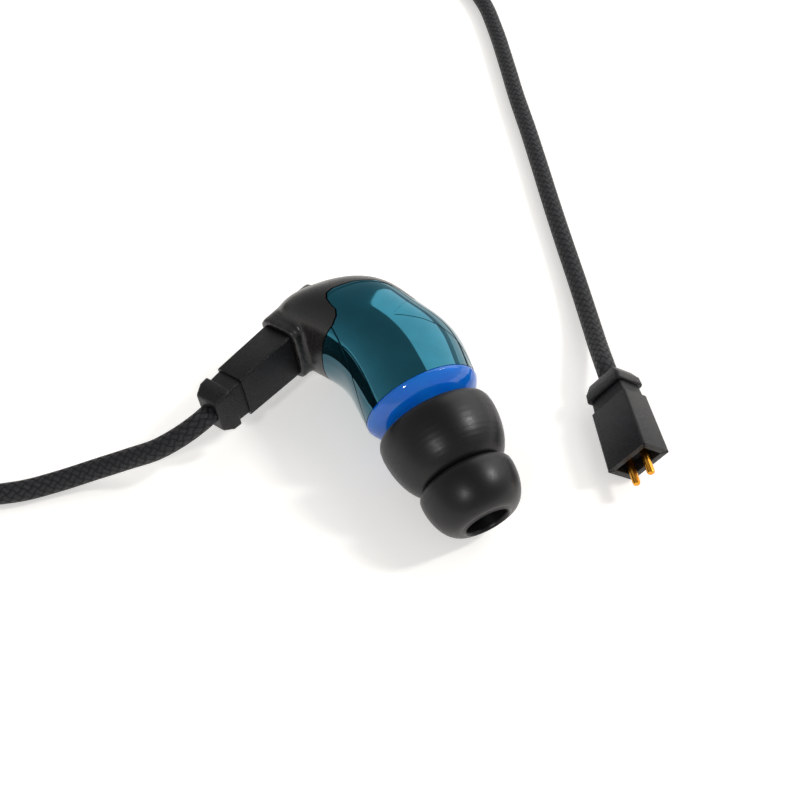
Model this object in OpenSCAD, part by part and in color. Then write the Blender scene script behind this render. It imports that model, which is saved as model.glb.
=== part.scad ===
// In-ear monitor: one earpiece plugged on its cable, the other cable plug free beside it.
// Units are millimetres, +Z is up, and the earpiece and the cable lie on the floor z = 0.

/* [Connector plugs] */
// Wide side of a plug's front face
plug_wide = 5.0; // [4.2:0.1:6.0]
// Short side of a plug's front face
plug_short = 3.4; // [3.0:0.1:4.2]
// Length of a plug's tapered front sleeve
sleeve_len = 6.6; // [5.5:0.1:8.0]
// Diameter of one connector pin
pin_d = 0.75; // [0.6:0.01:0.8]
// Distance between the two pins
pin_pitch = 1.9; // [1.7:0.05:2.1]
// Length of a pin in front of the plug's face
pin_out = 2.0; // [1.5:0.1:2.6]

/* [Earpiece] */
// Radius of the shell's round front rim
rim_r = 5.65; // [5.3:0.05:6.0]
// Half height of the shell
shell_half = 5.8; // [5.6:0.05:6.2]
// Wall of the shell and of the rear housing
wall = 0.8; // [0.7:0.05:0.9]
// How far the nozzle points down from level, in degrees
nozzle_tilt = 10; // [8:1:12]

/* [Ear tip] */
// Radius of the large flange
flange_r = 5.7; // [5.4:0.05:6.2]
// Radius of the small flange
cap_r = 4.6; // [4.4:0.05:5.0]
// Length of the ear tip
tip_len = 10.9; // [10.4:0.1:12.0]
// Radius of the outlet hole
outlet_r = 2.05; // [1.8:0.05:2.2]

/* [Cable] */
// Diameter of the braided cord
cord_d = 2.0; // [1.8:0.05:2.1]
// Radius of the jack's contact shaft
jack_r = 1.75; // [1.7:0.01:1.8]

/* [Hidden] */
$fn = 64;

// Fits
face_gap = 0.06;      // between a plug's face and the socket's lip
slide_gap = 0.06;     // radial, ear tip on stem and cinch on cords
contact_gap = 0.05;   // radial, pin in its contact tube

// The earpiece's place in the layout, and the layout's place in the frame
rim_at = [2.0, -5.2, 6.47];
nozzle_az = -64;
frame_at = [-1.3, -5.0, 0];

// Plug places: centre of the front face, heading and roll
plug_a_at = [-11.4, 1.6, 5.8];
plug_a_az = 51;
plug_a_roll = -10;
plug_b_at = [22.1, -9.7, 3.1];
plug_b_az = -81;
plug_b_roll = -35;

module place() translate(-frame_at) children();

// Frame of the body: x down, y to the outer side, z level and forward
module body_frame() translate(rim_at) rotate([0, 90, nozzle_az]) children();

// Frame of the nozzle: the body's, tipped down at the rim
module nozzle_frame() translate(rim_at) rotate([0, 90 + nozzle_tilt, nozzle_az]) children();

// Frame of a plug: x wide, y short, z out of the front face
module plug_frame(at, az, roll) translate(at) rotate([0, 90, az]) rotate([0, 0, roll]) children();

module plug_a_frame() plug_frame(plug_a_at, plug_a_az, plug_a_roll) children();
module plug_b_frame() plug_frame(plug_b_at, plug_b_az, plug_b_roll) children();

// ---------- lofted shell ----------

// One section of the shell: distance back, inner side, outer side, half height, squareness
shell_sections = [
    [0.0, -rim_r, rim_r, rim_r, 2.0],
    [1.5, -5.6, 5.95, shell_half - 0.1, 2.05],
    [3.5, -5.4, 6.3, shell_half - 0.05, 2.15],
    [5.5, -5.3, 6.1, shell_half, 2.3],
    [7.5, -5.6, 4.8, shell_half, 2.4],
    [9.5, -6.6, 4.2, shell_half, 2.5],
    [11.5, -8.0, 3.6, shell_half - 0.1, 2.6],
    [13.2, -8.8, 2.5, shell_half - 0.6, 2.6],
    [14.6, -8.9, 0.6, shell_half - 1.6, 2.5],
    [15.6, -8.2, -1.6, shell_half - 3.2, 2.3]
];
loft_sides = 32;
tilt_run = 6;         // the rim's tilt fades out over this length

function spow(v, e) = sign(v) * pow(abs(v), 2 / e);

function loft_point(s, g, i) =
    let (a = 360 * i / loft_sides,
         mid = (s[1] + s[2]) / 2,
         half = (s[2] - s[1]) / 2 - g,
         x = (s[3] - g) * spow(sin(a), s[4]),
         y = mid + half * spow(cos(a), s[4]),
         t = nozzle_tilt * max(0, 1 - s[0] / tilt_run))
    [x * cos(t), y, -s[0] - x * sin(t)];

// The loft shrunk by g on the sides; front and back are moved by their own amounts
module loft(g, front, back) {
    n = loft_sides;
    m = len(shell_sections);
    rings = [for (k = [0 : m - 1])
        let (s = shell_sections[k],
             d = k == 0 ? s[0] - front : (k == m - 1 ? s[0] - back : s[0] - g * (k > m - 4 ? 0.5 : 0)))
        for (i = [0 : n - 1]) loft_point([d, s[1], s[2], s[3], s[4]], g, i)];
    sides = [for (k = [0 : m - 2]) for (i = [0 : n - 1]) for (h = [0, 1])
        let (p = k * n + i, q = k * n + (i + 1) % n)
        h == 0 ? [p, q + n, q] : [p, p + n, q + n]];
    front_cap = [for (i = [1 : n - 2]) [0, i, i + 1]];
    back_cap = [for (i = [1 : n - 2]) [(m - 1) * n, (m - 1) * n + i + 1, (m - 1) * n + i]];
    polyhedron(rings, concat(sides, front_cap, back_cap), convexity = 6);
}

module shell_skin() difference() {
    loft(0, 0, 0);
    loft(wall, 3, wall);
}

// Outline of the front shell seen from above the body, in y and z
front_outline = [
    [-12, 3], [-12, -8.6], [-4.7, -8.6], [-4.1, -9.4], [-4.4, -10.6], [-4.0, -11.8],
    [-1.4, -11.9], [0.8, -11.3], [1.8, -10.4], [3.0, -8.2], [12, -6.8], [12, 3]
];

// Outline of the upper half of that shell, whose seam crosses its outer shoulder
seam_outline = [
    [-12, 3], [-12, -16], [3.1, -16], [3.1, -8.0], [0.2, -6.3], [0.6, -5.9],
    [2.5, -4.7], [4.3, -2.9], [5.0, -1.2], [5.1, 3]
];
seam_slope = 26;      // the seam falls towards the rim along the inner side

module from_above(outline) rotate([0, -90, 0]) linear_extrude(30, center = true)
    polygon([for (p = outline) [p[1], p[0]]]);

module upper_region() intersection() {
    from_above(seam_outline);
    rotate([0, seam_slope, 0]) translate([-30, -30, -30]) cube([30, 60, 60]);
}

module shell_upper() place() color("#2c6a7c") body_frame() intersection() {
    shell_skin();
    from_above(front_outline);
    upper_region();
}

module shell_lower() place() color("#2c6a7c") body_frame() difference() {
    intersection() {
        shell_skin();
        from_above(front_outline);
    }
    upper_region();
}

// ---------- socket ----------

boss_wide = plug_wide + 1.3;
boss_short = plug_short + 1.3;
boss_len = 2.4;
recess_wide = plug_wide - 1.2;
recess_short = plug_short - 1.2;
recess_deep = 1.2;
island_gap = 0.12;
insert_end = 3.4;

module rounded(w, h, r) translate([-w / 2, -h / 2]) union() {
    translate([r, 0]) square([w - 2 * r, h]);
    translate([0, r]) square([w, h - 2 * r]);
    for (x = [r, w - r], y = [r, h - r]) translate([x, y]) circle(r, $fn = 32);
}

module socket_slot(extra) rounded(recess_wide - 2 * island_gap + extra,
    recess_short - 2 * island_gap + extra, 0.8);

module rear_housing() place() color("#2a2624") difference() {
    union() {
        body_frame() difference() {
            shell_skin();
            from_above(front_outline);
        }
        plug_a_frame() translate([0, 0, face_gap]) linear_extrude(boss_len)
            rounded(boss_wide, boss_short, 1.1);
    }
    plug_a_frame() translate([0, 0, -2]) linear_extrude(insert_end + 2) socket_slot(0);
}

module socket_insert() place() color("#1c1c1e") plug_a_frame() difference() {
    translate([0, 0, face_gap - recess_deep + 0.1]) linear_extrude(insert_end + recess_deep - face_gap - 0.1)
        socket_slot(0);
    for (s = [-1, 1]) translate([s * pin_pitch / 2, 0, -2]) cylinder(h = 8, r = pin_d / 2 + 0.2, $fn = 32);
}

module socket_contacts() place() color("#c8952f") plug_a_frame()
    for (s = [-1, 1]) translate([s * pin_pitch / 2, 0, 0]) difference() {
        translate([0, 0, face_gap - recess_deep + 0.3]) cylinder(h = insert_end + 1.2, r = pin_d / 2 + 0.2, $fn = 32);
        translate([0, 0, -2]) cylinder(h = 2 + pin_out + 0.4, r = pin_d / 2 + contact_gap, $fn = 32);
    }

// ---------- plugs ----------

taper = 0.93;
neck_len = 1.4;
collar_len = 1.9;
collar_wide = plug_wide * 0.94;
collar_short = plug_short * 1.02;
boot_end = sleeve_len + neck_len + collar_len;

// Block tapered both ways, from z = 0 at size w, h back to z = -len at k times the size
module tapered(w, h, len, k) intersection() {
    rotate([90, 0, 0]) linear_extrude(4 * w, center = true)
        polygon([[-w / 2, 0], [w / 2, 0], [w / 2 * k, -len], [-w / 2 * k, -len]]);
    rotate([90, 0, 90]) linear_extrude(4 * w, center = true)
        polygon([[-h / 2, 0], [h / 2, 0], [h / 2 * k, -len], [-h / 2 * k, -len]]);
}

module plug_sleeve() difference() {
    tapered(plug_wide, plug_short, sleeve_len, taper);
    translate([0, 0, -sleeve_len - 1]) linear_extrude(sleeve_len + 2)
        rounded(recess_wide, recess_short, 0.9);
}

// A pin stands on a square shank that is moulded into the insert
shank_wide = 1.0;
shank_start = -sleeve_len + 1;
pin_chamfer = 0.15;

module shank() translate([-shank_wide / 2, -shank_wide / 2, shank_start])
    cube([shank_wide, shank_wide, -recess_deep - shank_start]);

module plug_insert() difference() {
    translate([0, 0, -sleeve_len]) linear_extrude(sleeve_len - recess_deep)
        rounded(recess_wide, recess_short, 0.9);
    for (s = [-1, 1]) translate([s * pin_pitch / 2, 0, 0]) shank();
}

module plug_pins() for (s = [-1, 1]) translate([s * pin_pitch / 2, 0, 0]) {
    shank();
    translate([0, 0, -recess_deep]) cylinder(h = recess_deep + pin_out - pin_chamfer, r = pin_d / 2, $fn = 32);
    translate([0, 0, pin_out - pin_chamfer])
        cylinder(h = pin_chamfer, r1 = pin_d / 2, r2 = pin_d / 2 - 0.12, $fn = 32);
}

module plug_boot() {
    translate([0, 0, -sleeve_len]) tapered(plug_wide * 0.85, plug_short * 0.85, neck_len, 0.96);
    translate([0, 0, -sleeve_len - neck_len]) tapered(collar_wide, collar_short, collar_len * 0.55, 0.97);
    translate([0, 0, -sleeve_len - neck_len - collar_len * 0.55])
        tapered(collar_wide * 0.97, collar_short * 0.97, collar_len * 0.45, 0.8);
}

module plug_a_sleeve() place() color("#1d1b1d") plug_a_frame() plug_sleeve();
module plug_a_insert() place() color("#141416") plug_a_frame() plug_insert();
module plug_a_pins() place() color("#e0a030") plug_a_frame() plug_pins();
module plug_a_boot() place() color("#1d1b1d") plug_a_frame() plug_boot();
module plug_b_sleeve() place() color("#1d1b1d") plug_b_frame() plug_sleeve();
module plug_b_insert() place() color("#141416") plug_b_frame() plug_insert();
module plug_b_pins() place() color("#e0a030") plug_b_frame() plug_pins();
module plug_b_boot() place() color("#1d1b1d") plug_b_frame() plug_boot();

// ---------- nozzle and ear tip ----------

stem_r = outlet_r;
ridge_r = stem_r + 0.35;
core_bore_r = ridge_r + slide_gap;
tip_back = 2.4;
tip_front = tip_back + tip_len;
stem_end = tip_back + 6.8;
bore_off = 0.92;
bore_r = 0.82;
spigot_r = rim_r - wall;

module nozzle_base() place() color("#1a7fdc") nozzle_frame() difference() {
    rotate_extrude($fn = 96) polygon([
        [0, -1.6], [spigot_r - 0.25, -1.6], [spigot_r - 0.25, 0], [rim_r - 0.1, 0], [rim_r - 0.15, 0.35],
        [rim_r - 0.6, 1.2], [3.4, 2.5], [stem_r + 0.5, 2.9], [0, 2.9]]);
    translate([0, 0, -2]) cylinder(h = 6, r = stem_r);
    translate([0, 0, -2]) cylinder(h = 2.6, r = 4.0);
    translate([0, 0, 0.6]) cylinder(h = 1.5, r1 = 4.0, r2 = stem_r);
}

module nozzle_stem() place() color("#1568c4") nozzle_frame() difference() {
    union() {
        translate([0, 0, -1.6]) cylinder(h = stem_end + 1.6, r = stem_r);
        translate([0, 0, stem_end - 1.6]) cylinder(h = 0.5, r1 = stem_r, r2 = ridge_r);
        translate([0, 0, stem_end - 1.1]) cylinder(h = 0.5, r = ridge_r);
        translate([0, 0, stem_end - 0.6]) cylinder(h = 0.4, r1 = ridge_r, r2 = stem_r);
    }
    for (s = [-1, 1]) translate([s * bore_off, 0, -2]) cylinder(h = stem_end + 4, r = bore_r, $fn = 32);
    translate([0, 0, stem_end - 0.3]) cylinder(h = 1, r = stem_r - 0.25);
}

module nozzle_screen() place() color("#9a9a9e") nozzle_frame()
    translate([0, 0, stem_end - 0.3]) cylinder(h = 0.2, r = stem_r - 0.25);

// Outer line of a flange: a quarter ellipse from its widest place to its neck
function flange_line(r0, r1, z0, z1, n) =
    [for (i = [0 : n]) let (a = 90 * i / n) [r1 + (r0 - r1) * cos(a), z0 + (z1 - z0) * sin(a)]];

core_r = core_bore_r + 0.6;
skirt = 0.5;
cap_back = tip_front - 4.7;
flange_end = tip_back + 6.3;

module ear_tip() place() color("#242426") nozzle_frame() rotate_extrude($fn = 96) difference() {
    union() {
        // core tube
        translate([0, tip_back + 1.0]) square([core_r, tip_len - 2.0]);
        // large flange
        difference() {
            polygon(concat([[0, tip_back], [flange_r - 0.35, tip_back], [flange_r - 0.08, tip_back + 0.5]],
                flange_line(flange_r, core_r, tip_back + 1.2, flange_end, 12), [[0, flange_end]]));
            polygon(concat([[0, tip_back + 1], [0, tip_back - 1], [flange_r - 0.35 - skirt, tip_back - 1],
                [flange_r - 0.35 - skirt, tip_back], [flange_r - 0.1 - skirt, tip_back + 0.5]],
                flange_line(flange_r - skirt, core_r, tip_back + 1.2, flange_end - 1, 12),
                [[core_r, tip_back + 1]]));
        }
        // small flange
        difference() {
            polygon(concat([[0, cap_back], [cap_r - 0.25, cap_back], [cap_r - 0.05, cap_back + 0.4]],
                flange_line(cap_r, outlet_r + 0.25, cap_back + 0.9, tip_front, 12), [[0, tip_front]]));
            polygon(concat([[core_r, cap_back - 1], [cap_r - 0.25 - skirt, cap_back - 1],
                [cap_r - 0.25 - skirt, cap_back], [cap_r - 0.05 - skirt, cap_back + 0.4]],
                flange_line(cap_r - skirt, core_r, cap_back + 0.8, cap_back + 2.4, 8)));
        }
    }
    translate([-1, tip_back - 2]) square([1 + core_bore_r, stem_end + 0.2 - tip_back + 2]);
    translate([-1, tip_back]) square([1 + outlet_r, tip_len + 2]);
}

// ---------- inside the earpiece ----------

plate_back = -2.6;
driver_back = -6.9;
driver_wide = 2.7;
driver_tall = 5.2;
driver_down = 0.5;
split_y = -0.2;

module driver_plate() place() color("#1568c4") nozzle_frame() difference() {
    translate([0, 0, plate_back]) cylinder(h = -1.6 - plate_back, r = 4.0);
    for (s = [-1, 1]) translate([s * bore_off, 0, plate_back - 1]) cylinder(h = 3, r = bore_r, $fn = 32);
}

module driver(y0, w, tall, back) translate([driver_down - tall / 2, y0, back])
    cube([tall, w, plate_back - back]);

module low_driver_left() place() color("#b9bcc0") nozzle_frame()
    driver(split_y - driver_wide, driver_wide, driver_tall, driver_back);
module low_driver_right() place() color("#b9bcc0") nozzle_frame()
    driver(split_y, driver_wide, driver_tall, driver_back);
module high_driver() place() color("#c6c9cc") nozzle_frame()
    driver(split_y + driver_wide, 1.5, 3.6, plate_back - 2.6);

module sound_tube(s) nozzle_frame() translate([s * bore_off, 0, plate_back]) difference() {
    cylinder(h = stem_end - 1.3 - plate_back, r = bore_r, $fn = 32);
    translate([0, 0, -1]) cylinder(h = 20, r = bore_r - 0.3, $fn = 32);
}
module damper(s) nozzle_frame() translate([s * bore_off, 0, stem_end - 4.5])
    cylinder(h = 1.4, r = bore_r - 0.3, $fn = 32);

module low_sound_tube() place() color("#d8dde0") sound_tube(-1);
module high_sound_tube() place() color("#d8dde0") sound_tube(1);
module low_damper() place() color("#b03a2e") damper(-1);
module high_damper() place() color("#3f8f4f") damper(1);

board_thick = 0.6;
board_back = driver_back - board_thick;

module crossover_board() place() color("#1f6b3a") nozzle_frame()
    translate([driver_down - 2.4, split_y - 2.6, board_back]) cube([4.8, 4.9, board_thick]);
module crossover_capacitor() place() color("#b8885a") nozzle_frame()
    translate([driver_down - 1.6, split_y + 0.6, board_back - 0.8]) cube([1.6, 0.8, 0.8]);
module crossover_resistor() place() color("#202022") nozzle_frame()
    translate([driver_down + 0.8, split_y + 0.7, board_back - 0.4]) cube([1.0, 0.5, 0.4]);

// Straight wire between two points
module wire(p, q, r) {
    d = q - p;
    l = norm(d);
    translate(p) rotate([0, acos(d[2] / l), atan2(d[1], d[0])]) cylinder(h = l, r = r, $fn = 16);
}

// Point of the nozzle frame and of plug A's frame, in the layout
function turn_z(p, a) = [p[0] * cos(a) - p[1] * sin(a), p[0] * sin(a) + p[1] * cos(a), p[2]];
function turn_y(p, a) = [p[0] * cos(a) + p[2] * sin(a), p[1], -p[0] * sin(a) + p[2] * cos(a)];
function from_nozzle(p) = rim_at + turn_z(turn_y(p, 90 + nozzle_tilt), nozzle_az);
function from_plug(p, at, az, roll) = at + turn_z(turn_y(turn_z(p, roll), 90), az);

contact_end = face_gap - recess_deep + 0.3 + insert_end + 1.2;

module socket_leads() place() color("#a03030") for (s = [-1, 1])
    wire(from_plug([s * pin_pitch / 2, 0, contact_end], plug_a_at, plug_a_az, plug_a_roll),
         from_nozzle([driver_down + s * 1.2, split_y - 1.6, board_back]), 0.25);

// ---------- cable ----------

cord_r = cord_d / 2;
cord_sides = 8;

function unit(v) = v / norm(v);
function route_dir(p, i) = unit(p[min(i + 1, len(p) - 1)] - p[max(i - 1, 0)]);

// Tube of cord along the points of a route
module tube(p) {
    n = cord_sides;
    m = len(p);
    pts = [for (i = [0 : m - 1])
        let (t = route_dir(p, i), side = unit(cross([0, 0, 1], t)), up = cross(t, side))
        for (j = [0 : n - 1])
            let (a = 360 * (j + 0.5) / n) p[i] + cord_r * (side * cos(a) + up * sin(a))];
    sides = [for (i = [0 : m - 2]) for (j = [0 : n - 1]) for (h = [0, 1])
        let (a = i * n + j, b = i * n + (j + 1) % n)
        h == 0 ? [a, b + n, b] : [a, a + n, b + n]];
    start_cap = [for (j = [1 : n - 2]) [0, j, j + 1]];
    end_cap = [for (j = [1 : n - 2]) [(m - 1) * n, (m - 1) * n + j + 1, (m - 1) * n + j]];
    polyhedron(pts, concat(sides, start_cap, end_cap), convexity = 8);
}

// The coil: its centre, its base above the floor and the heights of its three rings
coil_at = [-69, 34];
coil_base = 0.5;
layer = 2 * cord_d;
branch_in_r = 9;
branch_out_r = 15;
main_in_r = 7;
main_out_r = 17;
left_z = coil_base;
right_z = coil_base + layer;
main_z = coil_base + 2 * layer;
coil_top = coil_base + 3 * layer;

module coil(r0, r1, z0) translate([coil_at[0], coil_at[1], z0]) rotate_extrude($fn = 96)
    translate([r0, 0]) square([r1 - r0, layer]);

// Split and slider: on the coil's inner side, heading towards the viewer
split_x = coil_at[0] - 14;
twin = 1.3;           // half distance between the two cords in the slider and the split
slider_y = 15;
slider_len = 6;
split_top_y = 4;
split_len = 11;
split_end_y = split_top_y - split_len;
split_z = 1.7;

function plug_back(at, az, roll, d) = from_plug([0, 0, -boot_end - d], at, az, roll);

left_route = concat([for (d = [0, 1.5]) plug_back(plug_a_at, plug_a_az, plug_a_roll, d)], [
    [-20.3, -8.2, 5.0], [-22.6, -8.9, 3.9], [-25.2, -9.1, 2.8], [-28.4, -9.6, 1.8],
    [-32, -10.6, 1.2], [-35.5, -11.6, 1.02], [-40, -12, 1.02], [-45, -10.8, 1.02], [-49.5, -7, 1.02],
    [-52.5, -1, 1.02], [-54, 6, 1.1], [-54.7, 13, 1.3], [-55, 20, 1.5], [-55, 28.5, left_z + 1]]);
left_lead = [
    [split_x, 28.6, left_z + 3], [split_x - 0.4, 27, 2.9], [split_x - twin + 0.2, 25.2, 2.2],
    [split_x - twin, 23.2, split_z], [split_x - twin, 17, split_z], [split_x - twin, 10, split_z],
    [split_x - twin, split_top_y, split_z]];
right_route = concat([for (d = [0, 1.5]) plug_back(plug_b_at, plug_b_az, plug_b_roll, d)], [
    [20.05, 5, 2.3], [19.7, 9.5, 1.5], [19, 15.5, 1.1], [18.2, 21, 1.02],
    [17.2, 28, 1.02], [16.4, 34, 1.02], [15.5, 40.5, 1.02], [14.5, 47, 1.02], [13.6, 54, 1.02],
    [12.6, 61, 1.02], [11.2, 67.6, 1.02], [8.4, 73.6, 1.02], [3.6, 78.4, 1.02], [-2.8, 81.2, 1.02],
    [-9.8, 82.4, 1.02], [-17, 82.6, 1.02], [-24.4, 82.5, 1.02], [-31.8, 82.2, 1.02], [-39, 81, 1.02],
    [-46, 78.8, 1.02], [-52.6, 75.6, 1.02], [-58.8, 70.6, 1.1], [-64.2, 64.6, 1.5], [-68.6, 58.8, 2.3],
    [-72.8, 53.2, 3.4], [-77.2, 48.4, 4.6], [-81.99, 41.5, right_z + 1]]);
right_lead = [
    [split_x, 28.6, right_z + 3], [split_x + 0.4, 26.6, 5.6], [split_x + twin - 0.2, 24.9, 3.4],
    [split_x + twin, 23.2, split_z], [split_x + twin, 17, split_z], [split_x + twin, 10, split_z],
    [split_x + twin, split_top_y, split_z]];
main_lead = [
    [split_x, split_end_y, split_z], [split_x, split_end_y - 1.5, split_z], [split_x + 1, -12.6, 1.2],
    [split_x + 4.2, -15.8, 1.02], [split_x + 8.6, -16.2, 1.02], [split_x + 12.2, -13.4, 1.1],
    [split_x + 14.2, -8.5, 1.5], [split_x + 15, -2.5, 2.4], [split_x + 15.7, 3.5, 4.2],
    [split_x + 16.7, 9.5, 6.6], [split_x + 18.3, 14.4, 8.5], [split_x + 21.2, 18.6, main_z + 1]];
jack_x = -77;
jack_y = 66;
jack_z = 3.0;
main_route = [
    [-66, 50.8, main_z + 2.4], [-70, 53.6, 8.8], [-73.6, 57.4, 6.2],
    [-76, 61.2, 4.0], [jack_x, jack_y - 1.5, jack_z], [jack_x, jack_y, jack_z]];

module cord_left() place() color("#262628") tube(left_route);
module cord_left_lead() place() color("#262628") tube(left_lead);
module cord_right() place() color("#262628") tube(right_route);
module cord_right_lead() place() color("#262628") tube(right_lead);
module cord_main_lead() place() color("#262628") tube(main_lead);
module cord_main() place() color("#262628") tube(main_route);
module coil_left() place() color("#262628") coil(branch_in_r, branch_out_r, left_z);
module coil_right() place() color("#262628") coil(branch_in_r, branch_out_r, right_z);
module coil_main() place() color("#262628") coil(main_in_r, main_out_r, main_z);

tie_wide = 5;
tie_thick = 0.5;
tie_az = 255;

// Strap round the whole coil
module cord_tie() place() color("#3a3a3c") translate([coil_at[0], coil_at[1], 0]) rotate([0, 0, tie_az])
    difference() {
        translate([main_in_r - 1.2, -tie_wide / 2, coil_base - tie_thick])
            cube([main_out_r - main_in_r + 2.0, tie_wide, coil_top - coil_base + 2 * tie_thick]);
        translate([main_in_r - 0.6, -tie_wide, coil_base])
            cube([main_out_r - main_in_r + 0.8, 2 * tie_wide, coil_top - coil_base]);
    }

// Slider that draws the two branches together
module cinch_slider() place() color("#1d1b1d") translate([split_x, slider_y, split_z]) rotate([90, 0, 0])
    difference() {
        translate([0, 0, -slider_len / 2]) linear_extrude(slider_len) rounded(6.2, 3.3, 1.4);
        for (s = [-1, 1]) translate([s * twin, 0, -slider_len])
            cylinder(h = 2 * slider_len, r = cord_r + slide_gap, $fn = 32);
    }

module y_split() place() color("#1d1b1d") translate([split_x, split_top_y, split_z]) rotate([90, 0, 0]) union() {
    linear_extrude(split_len * 0.55) rounded(6.2, 3.3, 1.4);
    translate([0, 0, split_len * 0.55]) cylinder(h = split_len * 0.45, r1 = 1.65, r2 = 1.25);
}

// ---------- jack, bent at a right angle ----------

relief_len = 7;
jack_body_len = 11;
jack_body_r = 3.0;
elbow_at = [jack_x, jack_y + relief_len + 7.5, jack_z];
jack_az = 12;         // heading of the contact shaft, clear of the right branch
jack_out = jack_body_r + 0.8;
shaft_len = 14;

module elbow_frame() translate(elbow_at) rotate([0, 90, jack_az]) children();
module jack_frame() elbow_frame() translate([0, 0, jack_out]) children();

module jack_relief() place() color("#1d1b1d") translate([jack_x, jack_y, jack_z]) rotate([-90, 0, 0])
    for (i = [0 : 3]) translate([0, 0, i * relief_len / 4])
        cylinder(h = relief_len / 4, r1 = 1.3 + 0.22 * i, r2 = 1.5 + 0.22 * i, $fn = 48);

module jack_body() place() color("#1d1b1d") {
    translate([jack_x, jack_y + relief_len, jack_z]) rotate([-90, 0, 0]) cylinder(h = jack_body_len, r = jack_body_r);
    elbow_frame() cylinder(h = jack_out, r = jack_body_r - 0.2);
}

insulator = 0.6;
sleeve_end = 8.0;
ring_end = sleeve_end + insulator + 2.0;

module jack_sleeve() place() color("#d4a640") jack_frame() cylinder(h = sleeve_end, r = jack_r);
module jack_ring() place() color("#d4a640") jack_frame()
    translate([0, 0, sleeve_end + insulator]) cylinder(h = 2.0, r = jack_r);
module jack_tip() place() color("#d4a640") jack_frame() translate([0, 0, ring_end + insulator]) {
    cylinder(h = 0.8, r1 = jack_r, r2 = jack_r - 0.45);
    translate([0, 0, 0.8]) cylinder(h = 0.6, r1 = jack_r - 0.45, r2 = jack_r);
    translate([0, 0, 1.4]) cylinder(h = shaft_len - ring_end - insulator - 1.4, r1 = jack_r, r2 = 0.5);
}
module jack_insulators() place() color("#161616") jack_frame() for (z = [sleeve_end, ring_end])
    translate([0, 0, z]) cylinder(h = insulator, r = jack_r);

shell_upper();
shell_lower();
rear_housing();
nozzle_base();
nozzle_stem();
nozzle_screen();
driver_plate();
low_driver_left();
low_driver_right();
high_driver();
low_sound_tube();
high_sound_tube();
low_damper();
high_damper();
crossover_board();
crossover_capacitor();
crossover_resistor();
socket_insert();
socket_contacts();
socket_leads();
ear_tip();
plug_a_sleeve();
plug_a_insert();
plug_a_pins();
plug_a_boot();
plug_b_sleeve();
plug_b_insert();
plug_b_pins();
plug_b_boot();
cord_left();
coil_left();
cord_left_lead();
cord_right();
coil_right();
cord_right_lead();
cord_main_lead();
coil_main();
cord_main();
cord_tie();
cinch_slider();
y_split();
jack_relief();
jack_body();
jack_sleeve();
jack_ring();
jack_tip();
jack_insulators();
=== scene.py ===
"""Visible surfaces and finishes of an in-ear monitor on its detachable braided cable.

Sizes are worked in millimetres in the layout of the solids and written to meshes in metres.
"""

from __future__ import annotations

import logging
import math
from dataclasses import dataclass
from enum import Enum
from typing import Sequence

import bmesh
import bpy
from mathutils import Matrix, Vector


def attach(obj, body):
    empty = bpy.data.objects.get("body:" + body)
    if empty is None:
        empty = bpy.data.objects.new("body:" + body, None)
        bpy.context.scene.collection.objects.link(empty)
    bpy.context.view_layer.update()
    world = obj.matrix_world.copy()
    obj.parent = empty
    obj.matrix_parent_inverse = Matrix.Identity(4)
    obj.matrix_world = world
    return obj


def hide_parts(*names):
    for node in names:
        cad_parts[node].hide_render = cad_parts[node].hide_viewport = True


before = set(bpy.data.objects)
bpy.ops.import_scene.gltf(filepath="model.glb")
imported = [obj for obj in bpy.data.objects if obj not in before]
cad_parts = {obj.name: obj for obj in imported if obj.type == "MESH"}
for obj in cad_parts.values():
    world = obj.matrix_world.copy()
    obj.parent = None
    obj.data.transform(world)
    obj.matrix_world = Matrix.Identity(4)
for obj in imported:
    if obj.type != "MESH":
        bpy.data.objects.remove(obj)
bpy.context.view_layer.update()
LOG = logging.getLogger("in_ear_monitor")

MM = 0.001
WHITE = (1.0, 1.0, 1.0, 1.0)
Point = Sequence[float]
Pair = tuple[float, float]
Triple = tuple[float, float, float]
Piece = bpy.types.Object
Shape = bmesh.types.BMesh


# ---------- places ----------


def turned(at: Point, azimuth: float, tilt: float = 90.0, roll: float = 0.0) -> Matrix:
    """A frame whose z axis points along a heading.

    Args:
        at: Origin in the layout, in mm.
        azimuth: Heading about the vertical, in degrees.
        tilt: 90 for level, more for downwards, in degrees.
        roll: Turn about the new z axis, in degrees.

    Returns:
        The matrix from that frame to the layout, in mm.
    """
    turn = Matrix.Rotation(math.radians(azimuth), 4, "Z") @ Matrix.Rotation(math.radians(tilt), 4, "Y")
    return Matrix.Translation(Vector(at)) @ turn @ Matrix.Rotation(math.radians(roll), 4, "Z")


@dataclass(frozen=True)
class Layout:
    """Places that the solids share, in mm."""

    shift: Triple = (1.3, 5.0, 0.0)
    rim_at: Triple = (2.0, -5.2, 6.47)
    nozzle_az: float = -64.0
    nozzle_tilt: float = 10.0
    plug_a_at: Triple = (-11.4, 1.6, 5.8)
    plug_a_az: float = 51.0
    plug_a_roll: float = -10.0
    plug_b_at: Triple = (22.1, -9.7, 3.1)
    plug_b_az: float = -81.0
    plug_b_roll: float = -35.0

    def body(self) -> Matrix:
        """The earpiece body's frame: x down, y to its outer side, z forward."""
        return turned(self.rim_at, self.nozzle_az)

    def nozzle(self) -> Matrix:
        """The nozzle's frame: z out of the nozzle."""
        return turned(self.rim_at, self.nozzle_az, 90.0 + self.nozzle_tilt)

    def plug_a(self) -> Matrix:
        """The fitted plug's frame: z out of its front face."""
        return turned(self.plug_a_at, self.plug_a_az, 90.0, self.plug_a_roll)

    def plug_b(self) -> Matrix:
        """The free plug's frame: z out of its front face."""
        return turned(self.plug_b_at, self.plug_b_az, 90.0, self.plug_b_roll)

    def metres(self) -> Matrix:
        """Layout millimetres to the frame's metres."""
        return Matrix.Scale(MM, 4) @ Matrix.Translation(Vector(self.shift))


LAYOUT = Layout()


# ---------- materials ----------


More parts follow.
